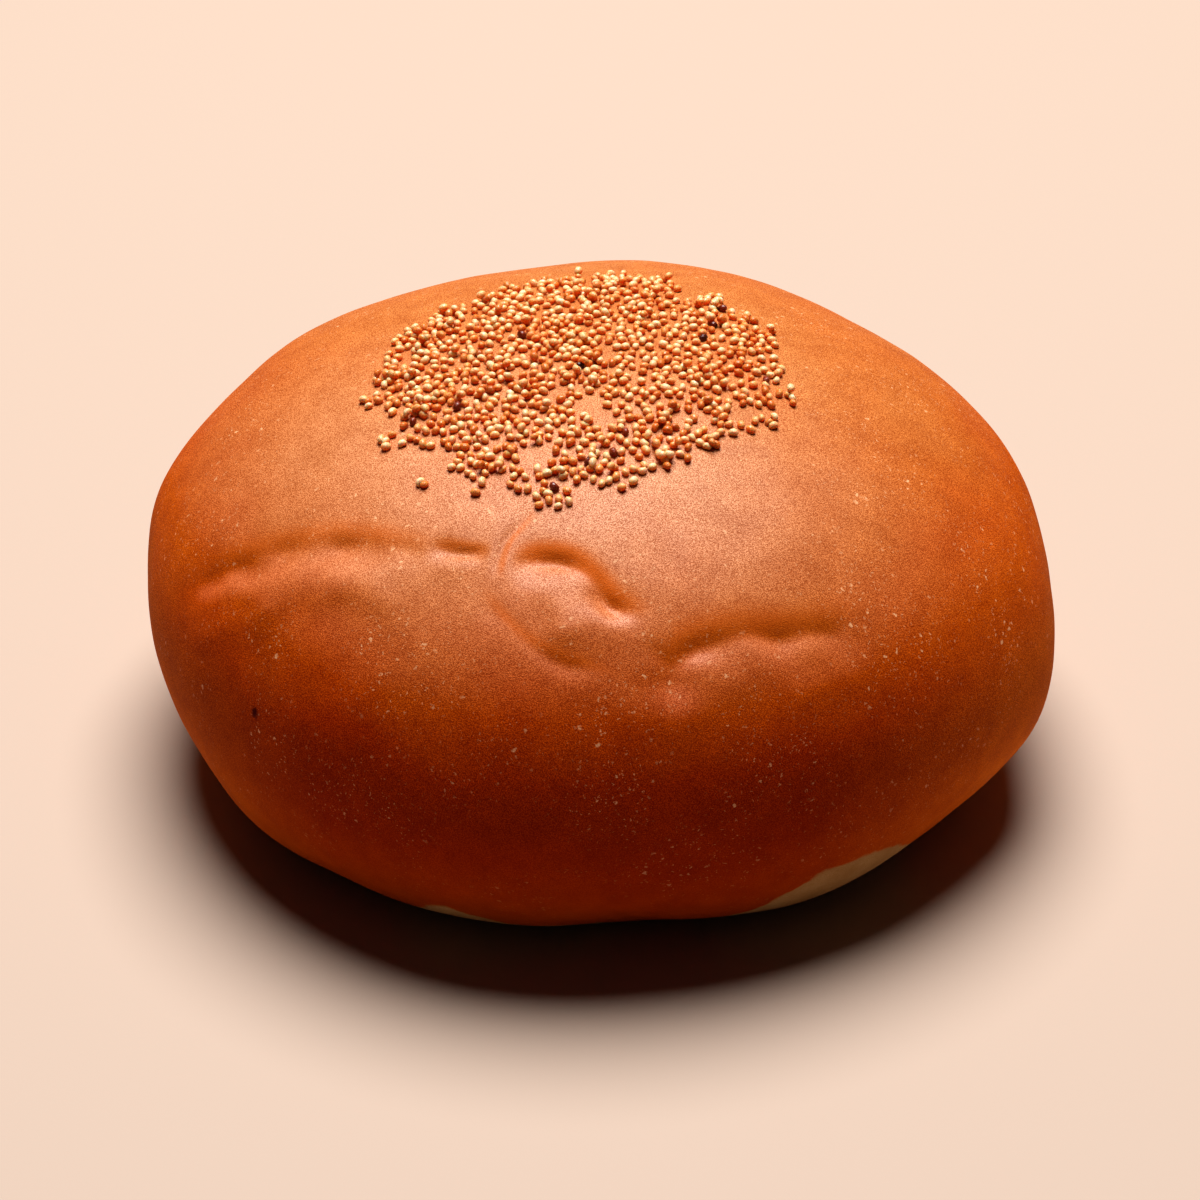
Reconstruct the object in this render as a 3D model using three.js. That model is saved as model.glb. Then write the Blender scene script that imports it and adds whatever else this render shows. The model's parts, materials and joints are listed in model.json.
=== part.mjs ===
// A bean paste bun: one baked dome of dough, and the patch of poppy seeds on its crown.
// Millimetres, +Z up. The origin is at the middle of the base, and the front is towards -Y.

import * as THREE from 'three';
import { mergeVertices } from 'three/addons/utils/BufferGeometryUtils.js';

// Driving dimensions of the bun
const bunHalfWidth = 46.2; // widest place, along X
const bunHalfDepth = 43.2; // widest place, along Y
const bunHeight = 46.5;
const beltHeight = 18.4; // height of the widest place
const domeExponent = 2.1; // 2 is an ellipse, more is a fuller shoulder
const outlineExponent = 2.1; // the same, for the outline seen from above

// How far the round outline wanders, as shares of the radius
const outlineWaves = [
  { lobes: 3, share: 0.004, turn: 1.9 },
  { lobes: 4, share: 0.014, turn: -1.1 },
  { lobes: 5, share: 0.004, turn: 0.6 },
];

// The underside: the base it rests on, and where the dough has lifted off the tray
const baseShare = 0.71; // radius of the flat base, as a share of the outline
const baseLift = { share: 0.04, azimuth: -0.75, spread: 0.55 };
const beltTilt = { rise: 1.0, azimuth: 2.4 };

// The seeds, as one thin layer that follows the crown
const seedRadius = 20.6;
const seedCentre = { x: -2.0, y: 0.4 };
const seedGap = 0.3; // clear of the crust
const seedThickness = 0.85;
const seedWaves = [
  { lobes: 3, share: 0.025, turn: 0.5 },
  { lobes: 7, share: 0.03, turn: 1.7 },
  { lobes: 11, share: 0.025, turn: 0.2 },
];

// Mesh density
const bunSegments = 88;
const domeRows = 22;
const sideRows = 9;
const baseRows = 5;
const seedSegments = 54;
const seedTopRows = 8;
const seedRimRows = 2;

const crustMaterial = new THREE.MeshStandardMaterial({
  color: new THREE.Color(0.72, 0.34, 0.13), roughness: 0.5, metalness: 0,
});
const seedMaterial = new THREE.MeshStandardMaterial({
  color: new THREE.Color(0.87, 0.68, 0.42), roughness: 0.45, metalness: 0,
});

function wave(waves, azimuth) {
  return waves.reduce(
    (sum, { lobes, share, turn }) => sum + share * Math.cos(lobes * azimuth - turn), 1);
}

// Distance from the axis to the bun's widest line
function outlineRadius(azimuth) {
  const across = Math.abs(Math.cos(azimuth) / bunHalfWidth) ** outlineExponent;
  const along = Math.abs(Math.sin(azimuth) / bunHalfDepth) ** outlineExponent;
  return wave(outlineWaves, azimuth) * (across + along) ** (-1 / outlineExponent);
}

function beltHeightAt(azimuth) {
  return beltHeight + beltTilt.rise * Math.cos(azimuth - beltTilt.azimuth);
}

function baseShareAt(azimuth) {
  const away = Math.atan2(
    Math.sin(azimuth - baseLift.azimuth), Math.cos(azimuth - baseLift.azimuth));
  return baseShare - baseLift.share * Math.exp(-((away / baseLift.spread) ** 2));
}

// Height of the crown over a point whose distance from the axis is a share of the outline
function domeHeight(azimuth, share) {
  const belt = beltHeightAt(azimuth);
  const fall = Math.max(0, 1 - share ** domeExponent) ** (1 / domeExponent);
  return belt + (bunHeight - belt) * fall;
}

function domePoint(azimuth, portion) {
  const angle = (Math.PI / 2) * portion;
  const share = Math.sin(angle) ** (2 / domeExponent);
  return { share, z: domeHeight(azimuth, share) };
}

function sidePoint(azimuth, portion) {
  const angle = (Math.PI / 2) * portion;
  const contact = baseShareAt(azimuth);
  return {
    share: contact + (1 - contact) * Math.cos(angle),
    z: beltHeightAt(azimuth) * (1 - Math.sin(angle)),
  };
}

function basePoint(azimuth, portion) {
  return { share: baseShareAt(azimuth) * (1 - portion), z: 0 };
}

// row runs from 0 at the top of the crown to the middle of the base
function bunPoint(azimuth, row) {
  if (row <= domeRows) return domePoint(azimuth, row / domeRows);
  if (row <= domeRows + sideRows) return sidePoint(azimuth, (row - domeRows) / sideRows);
  return basePoint(azimuth, (row - domeRows - sideRows) / baseRows);
}

// A closed globe whose every vertex is moved to place(azimuth, row)
function shapedGlobe(segments, rows, place) {
  const globe = new THREE.SphereGeometry(1, segments, rows);
  globe.rotateX(Math.PI / 2);
  globe.deleteAttribute('normal');
  globe.deleteAttribute('uv');
  const geometry = mergeVertices(globe, 1e-4);
  const position = geometry.attributes.position;
  const vertex = new THREE.Vector3();
  for (let i = 0; i < position.count; i += 1) {
    vertex.fromBufferAttribute(position, i);
    const azimuth = Math.atan2(vertex.y, vertex.x);
    const row = Math.round((rows * Math.acos(THREE.MathUtils.clamp(vertex.z, -1, 1))) / Math.PI);
    position.setXYZ(i, ...place(azimuth, row));
  }
  geometry.computeVertexNormals();
  return geometry;
}

function bunGeometry() {
  return shapedGlobe(bunSegments, domeRows + sideRows + baseRows, (azimuth, row) => {
    const { share, z } = bunPoint(azimuth, row);
    const radius = share * outlineRadius(azimuth);
    return [radius * Math.cos(azimuth), radius * Math.sin(azimuth), z];
  });
}

// Height of the crust under a point on the crown
function crownHeight(x, y) {
  const azimuth = Math.atan2(y, x);
  return domeHeight(azimuth, Math.hypot(x, y) / outlineRadius(azimuth));
}

function seedGeometry() {
  const rows = 2 * seedTopRows + seedRimRows;
  return shapedGlobe(seedSegments, rows, (azimuth, row) => {
    const fromEdge = Math.min(row, rows - row) / seedTopRows;
    const radius = seedRadius * wave(seedWaves, azimuth) * Math.min(1, fromEdge);
    const x = seedCentre.x + radius * Math.cos(azimuth);
    const y = seedCentre.y + radius * Math.sin(azimuth);
    const depth = THREE.MathUtils.clamp((row - seedTopRows) / seedRimRows, 0, 1);
    return [x, y, crownHeight(x, y) + seedGap + seedThickness * (1 - depth)];
  });
}

// How far the bun's outline has to move to put its middle on the axis
function centringShift(geometry) {
  geometry.computeBoundingBox();
  const middle = geometry.boundingBox.getCenter(new THREE.Vector3());
  return new THREE.Vector3(-middle.x, -middle.y, 0);
}

function namedMesh(name, geometry, material, shift) {
  const mesh = new THREE.Mesh(geometry, material);
  mesh.name = name;
  mesh.position.copy(shift);
  return mesh;
}

const part = new THREE.Group();
const bun = bunGeometry();
const shift = centringShift(bun);
part.add(namedMesh('bun', bun, crustMaterial, shift));
part.add(namedMesh('poppy_seeds', seedGeometry(), seedMaterial, shift));

export default part;
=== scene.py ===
# Bean paste bun: the baked crust, the seeds on its crown, and a plain studio around them.
import bpy, bmesh, json, math, random
from mathutils import Matrix, Vector, noise
from mathutils.bvhtree import BVHTree

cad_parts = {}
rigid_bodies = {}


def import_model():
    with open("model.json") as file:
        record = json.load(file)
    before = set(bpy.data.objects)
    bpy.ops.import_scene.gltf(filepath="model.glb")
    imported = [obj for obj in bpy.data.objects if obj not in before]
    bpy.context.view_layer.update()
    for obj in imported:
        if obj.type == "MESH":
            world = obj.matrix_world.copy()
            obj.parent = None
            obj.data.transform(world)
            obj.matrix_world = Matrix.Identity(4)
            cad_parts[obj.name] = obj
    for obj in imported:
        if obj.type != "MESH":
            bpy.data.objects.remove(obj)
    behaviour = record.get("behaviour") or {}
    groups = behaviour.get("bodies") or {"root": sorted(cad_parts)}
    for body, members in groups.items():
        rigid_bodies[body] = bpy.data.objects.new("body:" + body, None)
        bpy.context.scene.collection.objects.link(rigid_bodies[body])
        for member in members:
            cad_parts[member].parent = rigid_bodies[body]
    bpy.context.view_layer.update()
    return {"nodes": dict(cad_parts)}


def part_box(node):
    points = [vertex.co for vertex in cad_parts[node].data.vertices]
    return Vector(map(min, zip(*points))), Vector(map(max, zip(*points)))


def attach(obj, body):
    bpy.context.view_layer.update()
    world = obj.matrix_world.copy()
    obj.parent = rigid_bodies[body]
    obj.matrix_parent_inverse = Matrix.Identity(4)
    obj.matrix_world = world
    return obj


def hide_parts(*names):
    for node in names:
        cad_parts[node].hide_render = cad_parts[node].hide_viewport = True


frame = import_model()
mm = 0.001
bunLow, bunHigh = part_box("bun")
bunCentre = (bunLow + bunHigh) / 2
bunTop = bunHigh.z


def smoothStep(low, high, value):
    share = min(1.0, max(0.0, (value - low) / (high - low)))
    return share * share * (3 - 2 * share)


def hill(distance, width):
    return math.exp(-(distance / width) ** 2)


def onPlan(x, y):  # a place above the bun's middle, given in mm
    return Vector((bunCentre.x + x * mm, bunCentre.y + y * mm, 0))


def treeOf(bm):
    bm.normal_update()
    return BVHTree.FromBMesh(bm)


def dropOn(tree, place):  # straight down onto a surface
    top = Vector((place.x, place.y, bunTop + 20 * mm))
    hit, normal, _, _ = tree.ray_cast(top, Vector((0, 0, -1)))
    return hit, normal


def meshObject(name, bm):
    mesh = bpy.data.meshes.new(name)
    bm.to_mesh(mesh)
    bm.free()
    mesh.shade_smooth()
    piece = bpy.data.objects.new(name, mesh)
    bpy.context.scene.collection.objects.link(piece)
    return piece


bunForm = {
    "cageCuts": 31,       # cells along a cage edge, less one
    "smoothLevels": 2,
    "heart": 20 * mm,     # height the cage is blown out from
    "footFade": 2 * mm,   # the relief fades to nothing towards the base
    "dents": [            # wavelength and height of the wandering relief
        (30 * mm, 0.50 * mm),
        (11 * mm, 0.18 * mm),
        (3.5 * mm, 0.035 * mm),
    ],
    "crownDip": {"place": (-2, 0), "reach": 19 * mm, "depth": 0.5 * mm},
    "foldCrease": 1.5,    # how sharp the bottom of a fold is: 1 is a crease, 2 a smooth trough
    "glazeAndGlowAt": 0.9,       # where the glaze and its painted glow lie behind a fold, and how wide, as shares of the fold's back
    "glazeAndGlowSpread": 0.8,
    "foldWobble": {"wavelength": 4 * mm, "sideways": 0.8, "deeper": 0.9},
}

# Soft swellings and hollows: azimuth in degrees, height, how far each reaches, and how far it pushes out
bunSwells = [
    {"azimuth": -18, "height": 13 * mm, "reach": 8 * mm, "push": 1.0 * mm},
    {"azimuth": -55, "height": 5 * mm, "reach": 9 * mm, "push": 0.9 * mm},
    {"azimuth": -86, "height": 3 * mm, "reach": 6 * mm, "push": -0.8 * mm},
    {"azimuth": -145, "height": 6 * mm, "reach": 8 * mm, "push": 0.5 * mm},
    {"azimuth": -172, "height": 16 * mm, "reach": 9 * mm, "push": 0.4 * mm},
    {"azimuth": 170, "height": 24 * mm, "reach": 7 * mm, "push": 0.6 * mm},
    {"azimuth": 156, "height": 31 * mm, "reach": 8 * mm, "push": -0.6 * mm},
    {"azimuth": 40, "height": 36 * mm, "reach": 7 * mm, "push": -0.4 * mm},
    {"azimuth": 2, "height": 22 * mm, "reach": 8 * mm, "push": -0.4 * mm},
]

# Folds where the crown sank as the bun cooled. Paths are in mm from the bun's middle, seen from above and
# from left to right. The skin sinks over the back width, then climbs over the front one to a soft pad. In
# the fold's shaded back the wash leaves the skin glossier and a warm red-orange is painted as bounce light
# there; the glazed share sets how much.
bunFolds = [
    {"path": [(-44, -11), (-37, -17), (-25, -22), (-14, -27)],
     "depth": 0.65, "back": 1.35, "front": 2.8, "pad": 0.38, "fadeIn": 0.5, "glazedAndGlowing": 0.5},
    {"path": [(-17, -25), (-13.5, -26), (-10.5, -27)],
     "depth": 0.5, "back": 0.6, "front": 1.2, "pad": 0.05, "fadeIn": 0.3, "glazedAndGlowing": 0.6},
    {"path": [(-9, -28), (-4, -28), (-1, -30), (1, -32), (5, -33.5)],
     "depth": 0.9, "back": 1.1, "front": 2.0, "pad": 0.12, "fadeIn": 0.15, "glazedAndGlowing": 1},
    {"path": [(-6, -34.5), (-1, -34), (4, -34)],
     "depth": -0.25, "back": 1.8, "front": 1.6, "pad": 0, "fadeIn": 0.3, "glazedAndGlowing": 0},
    {"path": [(4, -34.5), (6.5, -36.5), (9, -35), (13, -33.5), (20, -31.5), (28, -26.5)],
     "depth": 0.65, "back": 1.7, "front": 2.6, "pad": 0.1, "fadeIn": 0.2, "glazedAndGlowing": 0.6},
    {"path": [(-12, -30), (-7, -35), (3, -38)],
     "depth": 0.16, "back": 0.6, "front": 0.9, "pad": 0, "fadeIn": 0.3, "glazedAndGlowing": 0.5},
    {"path": [(-6, -22), (-9, -26), (-10, -29.5)],
     "depth": 0.2, "back": 0.35, "front": 0.45, "pad": 0, "fadeIn": 0.3, "glazedAndGlowing": 0.6},
]

# Where the browned crust ends above the base, and where that edge climbs: azimuth in degrees, reach, rise
crustEdge = {
    "height": 0.9 * mm,
    "ragged": 0.9 * mm,
    "climbs": [
        (-60, 10, 7.5 * mm),
        (-47, 9, 6.5 * mm),
        (-95, 6, 2.2 * mm),
        (-111, 9, 5.5 * mm),
        (60, 20, 2.0 * mm),
        (155, 30, 2.8 * mm),
    ],
}

# How the crust's bake map is laid out: the outside in one disk, and the base in a small disk in a corner
bunMap = {"outside": 0.47, "base": 0.085, "baseCentre": Vector((0.91, 0.09))}


def makeCage(bodyTree):
    bm = bmesh.new()
    bmesh.ops.create_cube(bm, size=2)
    bmesh.ops.subdivide_edges(bm, edges=bm.edges[:], cuts=bunForm["cageCuts"], use_grid_fill=True)
    heart = Vector((bunCentre.x, bunCentre.y, bunForm["heart"]))
    for vert in bm.verts:
        way = Vector([math.tan(c * math.pi / 4) for c in vert.co]).normalized()
        vert.co = bodyTree.ray_cast(heart, way)[0]
    return bm


def smoothed(bm, levels):
    cage = meshObject("cage", bm)
    modifier = cage.modifiers.new("smooth", "SUBSURF")
    modifier.levels = modifier.render_levels = levels
    shape = cage.evaluated_get(bpy.context.evaluated_depsgraph_get()).to_mesh()
    fine = bmesh.new()
    fine.from_mesh(shape)
    cage.to_mesh_clear()
    bpy.data.objects.remove(cage)
    return fine


def roundedPath(points, tree, steps=8):
    path = [dropOn(tree, onPlan(x, y))[0] for x, y in points]
    ends = [path[0] * 2 - path[1]] + path + [path[-1] * 2 - path[-2]]
    route = []
    for a, b, c, d in zip(ends, ends[1:], ends[2:], ends[3:]):  # a smooth curve through b and c
        for step in range(steps):
            t = step / steps
            route.append(0.5 * ((2 * b) + (c - a) * t + (2 * a - 5 * b + 4 * c - d) * t * t
                                + (3 * b - a - 3 * c + d) * t ** 3))
    return route + [path[-1]]


def acrossFold(fold, co, normal):   # how far behind a fold a place lies in mm, and the fold's strength there
    if (co - fold["middle"]).length > fold["span"]:
        return 0.0, 0.0
    route = fold["route"]
    distances = [(co - point).length_squared for point in route]
    nearest = distances.index(min(distances))
    start, end = max(nearest - 1, 0), min(nearest + 1, len(route) - 1)
    along = (route[end] - route[start]).normalized()
    step = co - route[nearest]
    share = (nearest + along.dot(step) / fold["pace"]) / (len(route) - 1)
    strength = smoothStep(0, fold["fadeIn"], share) * smoothStep(0, 0.25, 1 - share)
    return normal.cross(along).dot(step) / mm, strength


def foldHeight(fold, co, normal):
    behind, strength = acrossFold(fold, co, normal)
    wobble = bunForm["foldWobble"]
    drift = noise.noise(co / wobble["wavelength"] + Vector((1.7, 5.2, 3.1)))
    behind += wobble["sideways"] * drift
    strength *= 1 + wobble["deeper"] * drift
    width = fold["back"] if behind > 0 else fold["front"]
    sink = math.exp(-abs(behind / width) ** bunForm["foldCrease"])
    pad = hill(behind + 1.6 * fold["front"], fold["front"])
    return strength * mm * (fold["pad"] * pad - fold["depth"] * sink)


def relief(co, normal):
    height = 0.0
    for wavelength, size in bunForm["dents"]:
        height += size * noise.noise(co / wavelength + Vector((7.3, 2.1, 4.9)))
    for swell in bunSwells:
        height += swell["push"] * hill((co - swell["place"]).length, swell["reach"])
    dip = bunForm["crownDip"]
    height -= dip["depth"] * hill((co.xy - onPlan(*dip["place"]).xy).length, dip["reach"])
    for fold in bunFolds:
        height += foldHeight(fold, co, normal)
    return height * smoothStep(0, bunForm["footFade"], co.z)


def placeSwells(tree):
    for swell in bunSwells:
        azimuth = math.radians(swell["azimuth"])
        start = Vector((bunCentre.x, bunCentre.y, swell["height"]))
        swell["place"] = tree.ray_cast(start, Vector((math.cos(azimuth), math.sin(azimuth), 0)))[0]


def placeFolds(tree):
    for fold in bunFolds:
        route = fold["route"] = roundedPath(fold["path"], tree)
        fold["middle"] = sum(route, Vector()) / len(route)
        fold["pace"] = sum((b - a).length for a, b in zip(route, route[1:])) / (len(route) - 1)
        reach = 3 * mm * max(fold["back"], fold["front"])
        fold["span"] = max((point - fold["middle"]).length for point in route) + reach


def edgeHeight(co):   # of the browned crust, on the side of the bun where a place lies
    azimuth = math.degrees(math.atan2(co.y - bunCentre.y, co.x - bunCentre.x))
    climb = sum(rise * hill(math.remainder(azimuth - middle, 360), reach)
                for middle, reach, rise in crustEdge["climbs"])
    return crustEdge["height"] + climb + crustEdge["ragged"] * noise.noise(co / (4 * mm))


def markBun(bm):   # what the crust material needs to know about each place
    browned = bm.verts.layers.float.new("browned")
    glazeAndFoldGlow = bm.verts.layers.float.new("glazeAndFoldGlow")
    glazeAndGlowAt, glazeAndGlowSpread = bunForm["glazeAndGlowAt"], bunForm["glazeAndGlowSpread"]
    for vert in bm.verts:
        vert[browned] = (vert.co.z - edgeHeight(vert.co)) / mm
        for fold in bunFolds:
            behind, strength = acrossFold(fold, vert.co, vert.normal)
            ran = strength * fold["glazedAndGlowing"] * hill(behind / fold["back"] - glazeAndGlowAt, glazeAndGlowSpread)
            vert[glazeAndFoldGlow] = max(vert[glazeAndFoldGlow], ran)


def mapBun(bm):
    heart = Vector((bunCentre.x, bunCentre.y, bunForm["heart"]))
    bakeMap = bm.loops.layers.uv.new("OFBake")
    arms = [vert.co - heart for vert in bm.verts]
    bm.verts.index_update()
    fromTop = [math.atan2(arm.xy.length, arm.z) for arm in arms]
    baseFaces = [face for face in bm.faces if face.calc_center_median().z < 0.02 * mm]
    sideFaces = set(bm.faces) - set(baseFaces)
    lowest = max(fromTop[vert.index] for face in sideFaces for vert in face.verts)
    widest = max(arms[vert.index].xy.length for face in baseFaces for vert in face.verts)
    for face in sideFaces:
        for loop in face.loops:
            i = loop.vert.index
            reach = bunMap["outside"] * fromTop[i] / lowest
            loop[bakeMap].uv = Vector((0.5, 0.5)) + arms[i].xy.normalized() * reach
    for face in baseFaces:
        for loop in face.loops:
            place = arms[loop.vert.index].xy * (bunMap["base"] / widest)
            loop[bakeMap].uv = bunMap["baseCentre"] + Vector((-place.x, place.y))


def makeBun():
    body = bmesh.new()
    body.from_mesh(frame["nodes"]["bun"].data)
    bmesh.ops.remove_doubles(body, verts=body.verts[:], dist=0.01 * mm)
    bm = smoothed(makeCage(treeOf(body)), bunForm["smoothLevels"])
    body.free()
    tree = treeOf(bm)
    placeSwells(tree)
    placeFolds(tree)
    moves = [relief(vert.co, vert.normal) for vert in bm.verts]
    for vert, move in zip(bm.verts, moves):
        vert.co += vert.normal * move
        vert.co.z = max(vert.co.z, 0)
    markBun(bm)
    mapBun(bm)
    bm.normal_update()
    return bm


bunMesh = makeBun()
crustTree = treeOf(bunMesh)
bun = meshObject("bunCrust", bunMesh)
print("bun body:", len(bun.data.polygons), "faces")


seedLook = {
    "count": 1100,
    "piled": 110,         # seeds that lie on top of others
    "length": 1.03 * mm,
    "lengthSpread": 0.12,
    "width": 0.82,        # share of the length
    "thickness": 0.76,
    "notch": 0.12,        # how deep the kidney's hollow is
    "bend": 0.15,
    "sunk": 0.14,         # share of the thickness that is baked into the crust
    "nearest": 0.76 * mm,
    "crowdSize": 1.9,     # of the places in mm where seeds lie closer or farther apart
    "pileHeight": 0.5,    # of a seed on top of others, in mm, and how far it slid aside
    "pileSlide": 0.4,
    "tilt": 0.55,
    "sides": 8,
    "rings": 6,
    "seed": 11,
}

# The patch that the seeds were pressed onto, seen from above, in mm from the bun's middle
seedPatch = {
    "centre": (-2, 0.4),
    "radius": 20.8,
    "ragged": 2.2,
    "bulges": [           # azimuth, reach, push
        (85, 14, 2.2), (90, 60, -3.5), (140, 30, -1.0), (-98, 10, 1.5), (-52, 14, -1.0)],
    "gaps": [(-1, -8.5, 1.7), (-4, -6.5, 1.0), (0.5, -11, 1.3), (-6, -16, 1.7), (-16, -15, 2.0),
             (9, 13, 1.2), (14, -9, 1.4)],   # bare spots: x, y, radius
    "strays": [(-17, -18, 2), (-12, -20, 1), (-5, -21, 7), (-3, -22, 1), (-23, -4, 3), (-21, -11, 4),
               (17, -10, 2), (19, -5, 3)],   # small clusters past the edge: x, y, number of seeds
}


def inPatch(x, y):
    centreX, centreY = seedPatch["centre"]
    azimuth = math.degrees(math.atan2(y - centreY, x - centreX))
    edge = seedPatch["radius"] + seedPatch["ragged"] * noise.noise(Vector((x / 2.4, y / 2.4, 3.7)))
    edge += sum(push * hill(math.remainder(azimuth - middle, 360), reach)
                for middle, reach, push in seedPatch["bulges"])
    if math.hypot(x - centreX, y - centreY) > edge:
        return False
    return all(math.hypot(x - gapX, y - gapY) > radius for gapX, gapY, radius in seedPatch["gaps"])


def scatterSeeds(draw):   # places as x, y and how far above the crust, in mm
    nearest = seedLook["nearest"] / mm
    centreX, centreY = seedPatch["centre"]
    reach = seedPatch["radius"] + 4
    places, taken = [], {}

    def cell(x, y):
        return int(x // nearest), int(y // nearest)

    def place(x, y):
        taken.setdefault(cell(x, y), []).append((x, y))
        places.append((x, y, 0))

    def isFree(x, y):
        column, row = cell(x, y)
        around = [taken.get((column + i, row + j), []) for i in (-1, 0, 1) for j in (-1, 0, 1)]
        return all(math.hypot(x - otherX, y - otherY) > nearest
                   for group in around for otherX, otherY in group)

    for x, y, number in seedPatch["strays"]:
        for i in range(number):   # a little spiral of seeds
            spread = 0.75 * nearest * math.sqrt(i)
            place(x + spread * math.cos(2.4 * i), y + spread * math.sin(2.4 * i))
    while len(places) < seedLook["count"] - seedLook["piled"]:
        x, y = centreX + draw.uniform(-reach, reach), centreY + draw.uniform(-reach, reach)
        crowdPlace = Vector((x / seedLook["crowdSize"], y / seedLook["crowdSize"], 8.8))
        crowd = 0.5 + 0.5 * noise.noise(crowdPlace)
        if inPatch(x, y) and draw.random() < 1.6 * crowd - 0.1 and isFree(x, y):
            place(x, y)
    for x, y, _ in draw.sample(places, seedLook["piled"]):
        angle, slide = draw.uniform(0, 2 * math.pi), seedLook["pileSlide"]
        places.append((x + slide * math.cos(angle), y + slide * math.sin(angle), seedLook["pileHeight"]))
    return places


def seedShape():   # one seed, a unit long, with its bake map in the unit square as seen from its top
    bm = bmesh.new()
    bmesh.ops.create_uvsphere(bm, u_segments=seedLook["sides"], v_segments=seedLook["rings"], radius=0.5)
    up = bm.verts.layers.float.new("up")
    bm.verts.layers.float.new("tone")
    bakeMap = bm.loops.layers.uv.new("OFBake")
    for face in bm.faces:
        facing = face.calc_center_median().xy.normalized()
        for loop in face.loops:
            way = loop.vert.co * 2
            side = way.xy.normalized() if way.xy.length > 0.01 else facing
            loop[bakeMap].uv = Vector((0.5, 0.5)) + side * (0.44 * math.sqrt(max(0, (1 - way.z) / 2)))
    for vert in bm.verts:
        x, y, z = vert.co
        hollow = seedLook["notch"] * hill(x, 0.22) * smoothStep(0, 0.4, -y) - seedLook["bend"] * x * x
        vert[up] = 0.5 + z
        vert.co = Vector((x, (y + hollow) * seedLook["width"], z * seedLook["thickness"]))
    shape = bpy.data.meshes.new("seedShape")
    bm.to_mesh(shape)
    bm.free()
    return shape


def makeSeeds():
    draw = random.Random(seedLook["seed"])
    shape = seedShape()
    bm = bmesh.new()
    columns = math.ceil(math.sqrt(seedLook["count"]))
    for i, (x, y, raised) in enumerate(scatterSeeds(draw)):
        place, normal = dropOn(crustTree, onPlan(x, y))
        length = seedLook["length"] * (1 + draw.uniform(-1, 1) * seedLook["lengthSpread"])
        lift = length * seedLook["thickness"] * (0.5 - seedLook["sunk"]) + raised * mm
        tip = Vector((draw.uniform(-1, 1), draw.uniform(-1, 1), 0)) * seedLook["tilt"]
        turn = (normal + tip).to_track_quat("Z", "X").to_matrix().to_4x4()
        spin = Matrix.Rotation(draw.uniform(0, 2 * math.pi), 4, "Z")
        matrix = Matrix.Translation(place + normal * lift) @ turn @ spin @ Matrix.Scale(length, 4)
        seedTone = draw.random()
        corner = Vector((i % columns, i // columns))
        bm.from_mesh(shape)
        bm.verts.ensure_lookup_table()
        tone, bakeMap = bm.verts.layers.float["tone"], bm.loops.layers.uv["OFBake"]
        for vert in bm.verts[-len(shape.vertices):]:
            vert.co = matrix @ vert.co
            vert[tone] = seedTone
            for loop in vert.link_loops:
                loop[bakeMap].uv = (corner + loop[bakeMap].uv) / columns
    bpy.data.meshes.remove(shape)
    return bm


seeds = meshObject("seedGrains", makeSeeds())
print("seeds:", len(seeds.data.polygons), "faces")


def newMaterial(name):
    material = bpy.data.materials.new(name)
    material.use_nodes = True
    material.node_tree.nodes.clear()
    return material


def addNode(tree, kind, place, inputs=None, **settings):
    node = tree.nodes.new(kind)
    node.location = place
    for name, value in settings.items():
        setattr(node, name, value)
    for name, value in (inputs or {}).items():
        node.inputs[name].default_value = value
    return node


def setRamp(node, stops):
    ramp = node.color_ramp
    while len(ramp.elements) < len(stops):
        ramp.elements.new(0.5)
    for element, (position, color) in zip(ramp.elements, stops):
        element.position = position
        element.color = (*color, 1)


def addMath(tree, operation, place, *values, clamp=False):
    node = addNode(tree, "ShaderNodeMath", place, operation=operation, use_clamp=clamp)
    for socket, value in zip(node.inputs, values):
        if isinstance(value, (int, float)):
            socket.default_value = value
        else:
            tree.links.new(value, socket)
    return node.outputs[0]


def addMix(tree, place, factor, a, b, blend="MIX"):
    node = addNode(tree, "ShaderNodeMix", place, data_type="RGBA", blend_type=blend)
    for socket, value in zip((node.inputs[0], node.inputs[6], node.inputs[7]), (factor, a, b)):
        if isinstance(value, (int, float)):
            socket.default_value = value
        elif isinstance(value, tuple):
            socket.default_value = (*value, 1)
        else:
            tree.links.new(value, socket)
    return node.outputs[2]


def newGroup(name, inputs, outputs):
    group = bpy.data.node_groups.new(name, "ShaderNodeTree")
    for label, kind, value in inputs:
        socket = group.interface.new_socket(label, in_out="INPUT", socket_type=kind)
        if value is not None:
            socket.default_value = value
    for label, kind in outputs:
        group.interface.new_socket(label, in_out="OUTPUT", socket_type=kind)
    return group, addNode(group, "NodeGroupInput", (-900, 0)), addNode(group, "NodeGroupOutput", (700, 0))


def speckGroup():  # small spots strewn over a surface
    group, given, result = newGroup(
        "scatteredSpecks",
        [("Vector", "NodeSocketVector", None), ("Scale", "NodeSocketFloat", 500.0),
         ("Radius", "NodeSocketFloat", 0.2), ("Share", "NodeSocketFloat", 0.5)],
        [("Mask", "NodeSocketFloat")])
    cells = addNode(group, "ShaderNodeTexVoronoi", (-650, 0))
    group.links.new(given.outputs["Vector"], cells.inputs["Vector"])
    group.links.new(given.outputs["Scale"], cells.inputs["Scale"])
    pick = addNode(group, "ShaderNodeSeparateColor", (-430, -160))
    group.links.new(cells.outputs["Color"], pick.inputs[0])
    chosen = addMath(group, "LESS_THAN", (-220, -160), pick.outputs[0], given.outputs["Share"])
    size = addMath(group, "MULTIPLY", (-220, -340), pick.outputs[1], given.outputs["Radius"])
    inside = addMath(group, "DIVIDE", (0, 0), cells.outputs["Distance"], size)
    spot = addMath(group, "SUBTRACT", (180, 0), 1.0, inside, clamp=True)
    sharp = addMath(group, "MULTIPLY", (360, 0), spot, 2.0, clamp=True)
    group.links.new(addMath(group, "MULTIPLY", (540, 0), sharp, chosen), result.inputs["Mask"])
    return group


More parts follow.
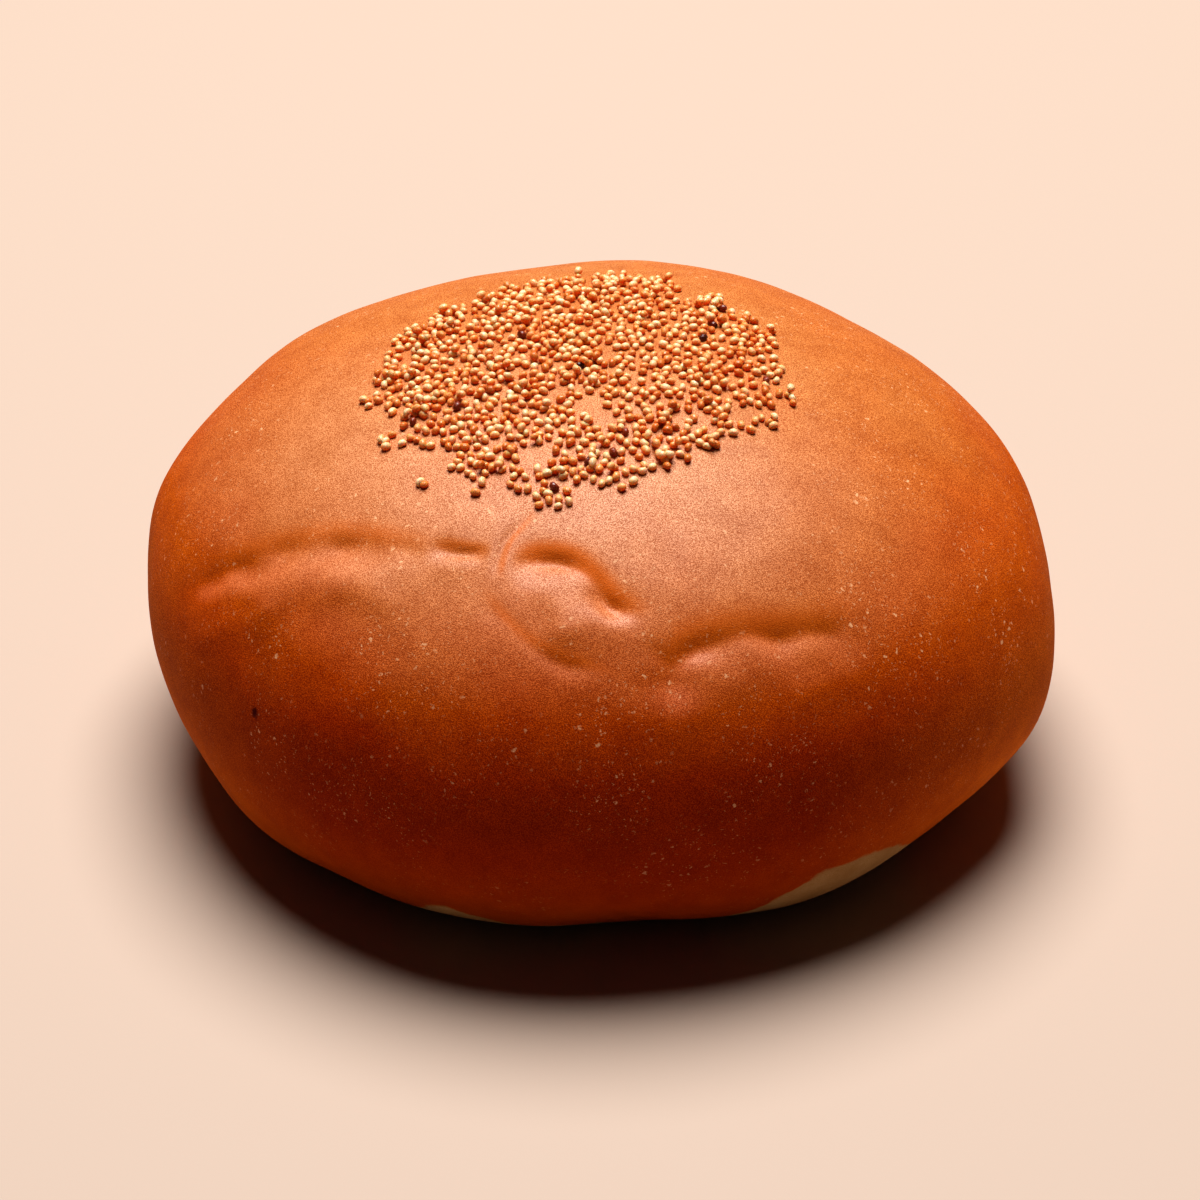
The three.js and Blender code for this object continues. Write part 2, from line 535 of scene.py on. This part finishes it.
def grainGroup():  # fine leathery grain of small domed cells, from 0 in the creases to 1 on the domes
    group, given, result = newGroup(
        "fineGrain",
        [("Vector", "NodeSocketVector", None), ("Scale", "NodeSocketFloat", 3000.0)],
        [("Value", "NodeSocketFloat")])
    wander = addNode(group, "ShaderNodeTexNoise", (-700, -200), {"Detail": 1.0})
    cells = addNode(group, "ShaderNodeTexVoronoi", (-400, 100), feature="F1")
    for node in (wander, cells):
        group.links.new(given.outputs["Vector"], node.inputs["Vector"])
        group.links.new(given.outputs["Scale"], node.inputs["Scale"])
    dome = addMath(group, "MULTIPLY_ADD", (-200, 100), cells.outputs["Distance"], -1.3, 1.0)
    patchy = addMath(group, "MULTIPLY_ADD", (-200, -200), wander.outputs["Fac"], 1.6, -0.7)
    total = addMath(group, "ADD", (0, 0), dome, patchy)
    value = addMath(group, "MULTIPLY_ADD", (200, 0), total, 0.75, -0.1, clamp=True)
    group.links.new(value, result.inputs["Value"])
    return group


specks = speckGroup()
grain = grainGroup()


def useGroup(tree, group, place, vector, **values):
    node = addNode(tree, "ShaderNodeGroup", place, node_tree=group)
    tree.links.new(vector, node.inputs["Vector"])
    for name, value in values.items():
        node.inputs[name].default_value = value
    return node.outputs[0]


def finish(tree, color, roughness, height, bump, constants):
    shader = addNode(tree, "ShaderNodeBsdfPrincipled", (900, 0), constants)
    output = addNode(tree, "ShaderNodeOutputMaterial", (1200, 0))
    relief = addNode(tree, "ShaderNodeBump", (650, -300), {"Strength": 1.0, "Distance": bump})
    tree.links.new(height, relief.inputs["Height"])
    tree.links.new(relief.outputs["Normal"], shader.inputs["Normal"])
    tree.links.new(color, shader.inputs["Base Color"])
    tree.links.new(roughness, shader.inputs["Roughness"])
    tree.links.new(shader.outputs[0], output.inputs["Surface"])
    return shader


def addNoise(tree, place, vector, scale, detail=2.0, roughness=0.5):
    node = addNode(tree, "ShaderNodeTexNoise", place,
                   {"Scale": scale, "Detail": detail, "Roughness": roughness})
    tree.links.new(vector, node.inputs["Vector"])
    return node.outputs["Fac"]


crustLook = {
    # Share of the bun's height, and the color of the front of the crust there: partly its bake, partly
    # painted shade that makes the lower front darkest
    "baked": [
        (0.00, (0.41, 0.075, 0.0005)),
        (0.12, (0.40, 0.060, 0.0004)),
        (0.22, (0.40, 0.048, 0.0003)),
        (0.33, (0.345, 0.031, 0.0002)),
        (0.43, (0.36, 0.034, 0.0002)),
        (0.53, (0.43, 0.042, 0.0004)),
        (0.64, (0.48, 0.074, 0.002)),
        (0.80, (0.475, 0.107, 0.008)),
        (1.00, (0.485, 0.152, 0.027)),
    ],
    "flankBakeAndLight": (0.72, 0.178, 0.010),  # of the lower crust at both sides and towards the back: partly a lighter bake, partly painted light, as the sides are lit more than the front
    "flankMiddle": -4 * mm,         # the flanks grow golden to the left and right of this x
    "flankReach": 42 * mm,
    "flankBack": 125 * mm,          # and slowly towards the back
    "dough": (0.44, 0.25, 0.10),
    "paintedSheen": (0.74, 0.38, 0.21),    # painted sheen: skin that faces up is painted paler, most of all towards the front left, where the light falls brightest
    "paintedSheenShare": 0.26,
    "paintedSheenLeast": 0.22,             # how much of that share the rest of the crown has
    "cloudScale": 70.0,             # slow drifts of the bake, which move the colors up or down by cloudShift
    "cloudShift": 0.12,
    "mottleScale": 330.0,
    # Low and high places as multiples of the color around them, first for the mottle and then for the grain
    "dull": (0.90, 0.84, 0.76),
    "bright": (1.10, 1.16, 1.24),
    # The grain's creases are darkened and its domes made paler: partly the grain's own tone, partly painted
    # shade in the creases and painted glints on the domes
    "grainCreaseToneAndShade": (0.66, 0.53, 0.45),
    "grainDomeToneAndGlint": (1.90, 2.35, 3.10),
    "grainScale": 9000.0,
    "grainBelow": 0.16,             # share of the grain that shows on the lowest skin
    "fleck": (0.85, 0.46, 0.24),
    "fleckShare": 0.8,
    "flecks": {"Scale": 1150.0, "Radius": 0.30, "Share": 0.45},
    "dust": {"Scale": 2600.0, "Radius": 0.42, "Share": 0.75},   # finer and fainter flecks
    "dustShare": 0.6,
    "crowdScale": 130.0,            # of the patches that the flecks keep to
    "ragged": 0.8 * mm,             # how far a fleck's edge strays
    # Painted shade: the one burst bubble is a dark spot only, painted where its hollow lies in shade
    "pitShade": (0.085, 0.005, 0.002),
    "pitAt": (-139, 23 * mm),       # azimuth in degrees and height of the one burst bubble
    "pitReach": 0.45 * mm,
    # Painted bounce light: warm red-orange painted into the shaded back of each fold, where the wash also
    # leaves the skin glossier
    "glazeAndFoldGlow": (0.74, 0.150, 0.013),
    "glazeAndFoldGlowShare": 0.7,
    "roughness": (0.60, 0.75),
    "specular": 0.02,
    "wash": 0.68,                   # of egg, brushed on from above: its share, and how rough it dried
    "washRoughness": 0.47,
    "bump": 0.03 * mm,
}


def pitOn(tree):
    azimuth, height = crustLook["pitAt"]
    start = Vector((bunCentre.x, bunCentre.y, height))
    way = Vector((math.cos(math.radians(azimuth)), math.sin(math.radians(azimuth)), 0))
    return tree.ray_cast(start, way)[0]


def crustMaterial():
    pitPlace = pitOn(crustTree)
    material = newMaterial("bakedCrust")
    tree = material.node_tree
    place = addNode(tree, "ShaderNodeTexCoord", (-1900, 0)).outputs["Object"]
    browned = addNode(tree, "ShaderNodeAttribute", (-900, -700), attribute_name="browned").outputs["Fac"]
    glazeAndFoldGlow = addNode(tree, "ShaderNodeAttribute", (-900, -900), attribute_name="glazeAndFoldGlow").outputs["Fac"]
    parts = addNode(tree, "ShaderNodeSeparateXYZ", (-1400, 200))
    tree.links.new(place, parts.inputs[0])
    clouds = addNoise(tree, (-1400, 0), place, crustLook["cloudScale"], 3.0)
    mottle = addNoise(tree, (-1400, -200), place, crustLook["mottleScale"], 4.0, 0.6)
    fine = useGroup(tree, grain, (-1400, -400), place, Scale=crustLook["grainScale"])

    height = addMath(tree, "DIVIDE", (-1200, 250), parts.outputs["Z"], bunTop)
    shift = crustLook["cloudShift"]
    drift = addMath(tree, "MULTIPLY_ADD", (-1200, 100), clouds, 2 * shift, -shift)
    level = addMath(tree, "ADD", (-1000, 250), height, drift, clamp=True)
    # The crust's color by height: partly its bake, partly painted shade on the lower front
    baked = addNode(tree, "ShaderNodeValToRGB", (-800, 250))
    setRamp(baked, crustLook["baked"])
    tree.links.new(level, baked.inputs[0])

    facing = addNode(tree, "ShaderNodeSeparateXYZ", (-1400, 400))
    tree.links.new(addNode(tree, "ShaderNodeNewGeometry", (-1600, 400)).outputs["Normal"], facing.inputs[0])
    upward = addMath(tree, "MULTIPLY_ADD", (-1200, 400), facing.outputs["Z"], 2.2, -1.2, clamp=True)
    # Painted sheen: the skin that faces up is painted paler, most of all towards the front left
    leftward = addMath(tree, "MULTIPLY_ADD", (-1200, 1000), parts.outputs["X"], -0.012 / mm, 0.32)
    forward = addMath(tree, "MULTIPLY_ADD", (-1200, 900), parts.outputs["Y"], -0.03 / mm, leftward,
                      clamp=True)
    everywhere = addMath(tree, "MAXIMUM", (-1100, 500), forward, crustLook["paintedSheenLeast"])
    paintedSheenMask = addMath(tree, "MULTIPLY", (-1000, 500), upward, everywhere)
    paintedSheen = addMath(tree, "MULTIPLY", (-1000, 400), paintedSheenMask, crustLook["paintedSheenShare"])
    # Golden lower flanks: partly a lighter bake, partly painted light on the sides
    reach, middle = crustLook["flankReach"], crustLook["flankMiddle"]
    across = addMath(tree, "MULTIPLY_ADD", (-1600, 800), parts.outputs["X"], 1 / reach, -middle / reach)
    sideward = addMath(tree, "MULTIPLY", (-1400, 800), across, across)
    backward = addMath(tree, "MULTIPLY_ADD", (-1200, 700), parts.outputs["Y"],
                       1 / crustLook["flankBack"], sideward, clamp=True)
    under = addMath(tree, "MULTIPLY_ADD", (-1200, 600), height, -1.6, 1.25, clamp=True)
    flankBakeAndLight = addMath(tree, "MULTIPLY", (-1000, 650), backward, under)
    golden = addMix(tree, (-650, 500), flankBakeAndLight, baked.outputs[0], crustLook["flankBakeAndLight"])
    withPaintedSheen = addMix(tree, (-650, 300), paintedSheen, golden, crustLook["paintedSheen"])
    wander = addMath(tree, "MULTIPLY_ADD", (-900, -560), mottle, 2.2, -1.1)
    edge = addMath(tree, "ADD", (-700, -700), browned, wander)
    bare = addMath(tree, "MULTIPLY", (-500, -700), edge, -2.0, clamp=True)
    skin = addMix(tree, (-500, 300), bare, withPaintedSheen, crustLook["dough"])

    drifts = addMath(tree, "MULTIPLY_ADD", (-1100, -200), mottle, 2.5, -0.75, clamp=True)
    uneven = addMix(tree, (-500, 100), drifts, crustLook["dull"], crustLook["bright"])
    tint = addMix(tree, (-350, 200), 1.0, skin, uneven, "MULTIPLY")
    # Grain color: partly its own tone, partly painted shade in its creases and painted glints on its domes
    low = addMix(tree, (-200, 350), 1.0, tint, crustLook["grainCreaseToneAndShade"], "MULTIPLY")
    high = addMix(tree, (-200, 150), 1.0, tint, crustLook["grainDomeToneAndGlint"], "MULTIPLY")
    grained = addMix(tree, (-50, 250), fine, low, high)
    rising = addMath(tree, "MULTIPLY_ADD", (-200, 500), height, 2.8, -0.3, clamp=True)
    shown = addMath(tree, "MAXIMUM", (-50, 450), rising, crustLook["grainBelow"])
    textured = addMix(tree, (100, 300), shown, tint, grained)

    ragged = addNode(tree, "ShaderNodeVectorMath", (-1500, -500), operation="MULTIPLY_ADD")
    wobble = addNode(tree, "ShaderNodeTexNoise", (-1700, -500), {"Scale": 2500.0, "Detail": 2.0})
    tree.links.new(place, wobble.inputs["Vector"])
    tree.links.new(wobble.outputs["Color"], ragged.inputs[0])
    ragged.inputs[1].default_value = [crustLook["ragged"]] * 3
    tree.links.new(place, ragged.inputs[2])
    spots = ragged.outputs[0]
    flecks = useGroup(tree, specks, (-800, -150), spots, **crustLook["flecks"])
    dust = useGroup(tree, specks, (-800, -300), spots, **crustLook["dust"])
    crowds = addNoise(tree, (-1400, -800), place, crustLook["crowdScale"])
    crowded = addMath(tree, "MULTIPLY_ADD", (-1100, -800), crowds, 4.0, -1.45, clamp=True)
    apart = addNode(tree, "ShaderNodeVectorMath", (-800, -450), operation="DISTANCE")
    tree.links.new(spots, apart.inputs[0])
    middling = Vector([crustLook["ragged"] / 2] * 3)   # how far the ragged places lie off on average
    apart.inputs[1].default_value = pitPlace + middling
    pits = addMath(tree, "MULTIPLY_ADD", (-600, -450), apart.outputs["Value"],
                   -1 / crustLook["pitReach"], 1.6, clamp=True)
    dusty = addMath(tree, "MULTIPLY", (-600, -300), dust, crustLook["dustShare"])
    strewn = addMath(tree, "MAXIMUM", (-500, -200), flecks, dusty)
    crowding = addMath(tree, "MULTIPLY", (-400, -200), strewn, crowded)
    pale = addMath(tree, "MULTIPLY", (-300, -200), crowding, shown)
    paler = addMath(tree, "MULTIPLY", (-100, -200), pale, crustLook["fleckShare"])
    flecked = addMix(tree, (250, 200), paler, textured, crustLook["fleck"])
    # The burst bubble's painted shade
    pitted = addMix(tree, (400, 200), pits, flecked, crustLook["pitShade"])
    # Painted bounce light in the shaded backs of the folds
    share = addMath(tree, "MULTIPLY", (300, -900), glazeAndFoldGlow, crustLook["glazeAndFoldGlowShare"])
    color = addMix(tree, (600, 200), share, pitted, crustLook["glazeAndFoldGlow"])

    rough = addNode(tree, "ShaderNodeMapRange", (-100, -50),
                    {"To Min": crustLook["roughness"][0], "To Max": crustLook["roughness"][1]})
    tree.links.new(mottle, rough.inputs["Value"])
    glossy = addMath(tree, "MULTIPLY_ADD", (500, -50), glazeAndFoldGlow, -0.15, rough.outputs[0])
    bumps = addMath(tree, "ADD", (200, -300), fine, mottle)
    shader = finish(tree, color, glossy, bumps, crustLook["bump"],
                    {"Specular IOR Level": crustLook["specular"],
                     "Coat Roughness": crustLook["washRoughness"]})
    glints = addMath(tree, "MULTIPLY_ADD", (300, -500), fine, 1.6, 0.35)
    washed = addMath(tree, "MULTIPLY", (450, -500), glints, upward)
    wash = addMath(tree, "MULTIPLY", (600, -500), washed, crustLook["wash"])
    tree.links.new(wash, shader.inputs["Coat Weight"])
    return material


seedColors = {
    # Share of the seeds, and their color
    "skin": [
        (0.00, (0.82, 0.56, 0.24)),
        (0.35, (0.80, 0.44, 0.13)),
        (0.70, (0.74, 0.31, 0.060)),
        (0.975, (0.62, 0.19, 0.030)),
        (0.984, (0.28, 0.045, 0.010)),
        (0.996, (0.18, 0.024, 0.008)),
        (0.998, (0.016, 0.007, 0.008)),
    ],
    "top": (0.90, 0.70, 0.47),    # painted highlight: the top of each seed is painted paler, where the light falls
    "paintedUnderGlow": (1.25, 0.66, 0.24),   # and painted glow of light bounced into the foot of each seed, which multiplies the skin
    "roughness": (0.26, 0.42),
    "specular": 0.45,
    "grainScale": 6500.0,
    "bump": 0.03 * mm,
    "glow": 0.55,
    "glowReach": 0.8 * mm,
}


def seedMaterial():
    material = newMaterial("poppySeedSkin")
    tree = material.node_tree
    place = addNode(tree, "ShaderNodeTexCoord", (-1000, 0)).outputs["Object"]
    tone = addNode(tree, "ShaderNodeAttribute", (-1000, 300), attribute_name="tone").outputs["Fac"]
    up = addNode(tree, "ShaderNodeAttribute", (-1000, 150), attribute_name="up").outputs["Fac"]
    skin = addNode(tree, "ShaderNodeValToRGB", (-750, 300))
    setRamp(skin, seedColors["skin"])
    tree.links.new(tone, skin.inputs[0])
    fine = useGroup(tree, grain, (-750, -100), place, Scale=seedColors["grainScale"])
    textured = addMix(tree, (-450, 300), 0.25, skin.outputs[0], fine, "OVERLAY")
    # Painted bounce glow on the lower part of each seed
    paintedUnderGlowTint = addMix(tree, (-250, 100), 1.0, textured, seedColors["paintedUnderGlow"], "MULTIPLY")
    low = addMath(tree, "MULTIPLY_ADD", (-450, 50), up, -2.2, 1.5, clamp=True)
    withPaintedUnderGlow = addMix(tree, (-50, 200), low, textured, paintedUnderGlowTint)
    # Painted highlight on the top of each seed, except on the darkest ones
    ripe = addMath(tree, "SUBTRACT", (-600, -100), 0.93, tone, clamp=True)
    lit = addMath(tree, "MULTIPLY_ADD", (-600, -250), up, 1.4, -0.75, clamp=True)
    paintedTopHighlight = addMath(tree, "MULTIPLY", (-450, -100), ripe, lit)
    color = addMix(tree, (150, 200), paintedTopHighlight, withPaintedUnderGlow, seedColors["top"])
    rough = addNode(tree, "ShaderNodeMapRange", (0, 0),
                    {"To Min": seedColors["roughness"][0], "To Max": seedColors["roughness"][1]})
    tree.links.new(fine, rough.inputs["Value"])
    finish(tree, color, rough.outputs[0], fine, seedColors["bump"],
           {"Specular IOR Level": seedColors["specular"], "Subsurface Weight": seedColors["glow"],
            "Subsurface Scale": seedColors["glowReach"]})
    return material


bun.data.materials.append(crustMaterial())
seeds.data.materials.append(seedMaterial())
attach(bun, "root")
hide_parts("bun")
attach(seeds, "root")
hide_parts("poppy_seeds")
print("materials: crust and seeds")


studio = {
    "floorSize": 3.0,
    "floorColor": (0.46, 0.345, 0.272),
    "elevation": 34.0,     # of the camera above the floor, in degrees
    "distance": 0.5,
    "lens": 142.5,
    "aimHeight": 13.7 * mm,   # how far the view is raised, across the line of sight
    "world": (0.025, 0.022, 0.02),
}


def makeFloor():
    bm = bmesh.new()
    bmesh.ops.create_grid(bm, x_segments=1, y_segments=1, size=studio["floorSize"] / 2)
    bmesh.ops.translate(bm, verts=bm.verts[:], vec=(0, 0, -0.05 * mm))
    floor = meshObject("floor", bm)
    material = newMaterial("palePlainFloor")
    tree = material.node_tree
    shader = addNode(tree, "ShaderNodeBsdfPrincipled", (0, 0),
                     {"Base Color": (*studio["floorColor"], 1), "Roughness": 0.7})
    output = addNode(tree, "ShaderNodeOutputMaterial", (300, 0))
    tree.links.new(shader.outputs[0], output.inputs["Surface"])
    floor.data.materials.append(material)


def makeLight(name, place, size, power, color=(1, 1, 1)):
    data = bpy.data.lights.new(name, "AREA")
    data.shape = "DISK"
    data.size = size
    data.energy = power
    data.color = color
    light = bpy.data.objects.new(name, data)
    light.location = place
    light.rotation_euler = (-Vector(place)).to_track_quat("-Z", "Y").to_euler()
    bpy.context.scene.collection.objects.link(light)


def makeWorld():
    world = bpy.data.worlds.new("studioAir")
    world.use_nodes = True
    world.node_tree.nodes["Background"].inputs["Color"].default_value = (*studio["world"], 1)
    bpy.context.scene.world = world


def makeCamera():
    tilt = math.radians(studio["elevation"])
    ahead = Vector((0, math.cos(tilt), -math.sin(tilt)))
    upward = Vector((0, math.sin(tilt), math.cos(tilt)))
    data = bpy.data.cameras.new("camera")
    data.lens = studio["lens"]
    data.sensor_width = 36
    data.clip_start = 0.01
    camera = bpy.data.objects.new("camera", data)
    camera.location = upward * studio["aimHeight"] - ahead * studio["distance"]
    camera.rotation_euler = (math.pi / 2 - tilt, 0, 0)
    bpy.context.scene.collection.objects.link(camera)
    bpy.context.scene.camera = camera


makeFloor()
makeWorld()
makeCamera()
makeLight("skyPanel", (0.0, 0.30, 0.95), 0.70, 18.5)
bpy.context.scene.view_settings.view_transform = "Standard"
bpy.context.scene.view_settings.look = "Medium High Contrast"
print("studio: floor, lights and camera")
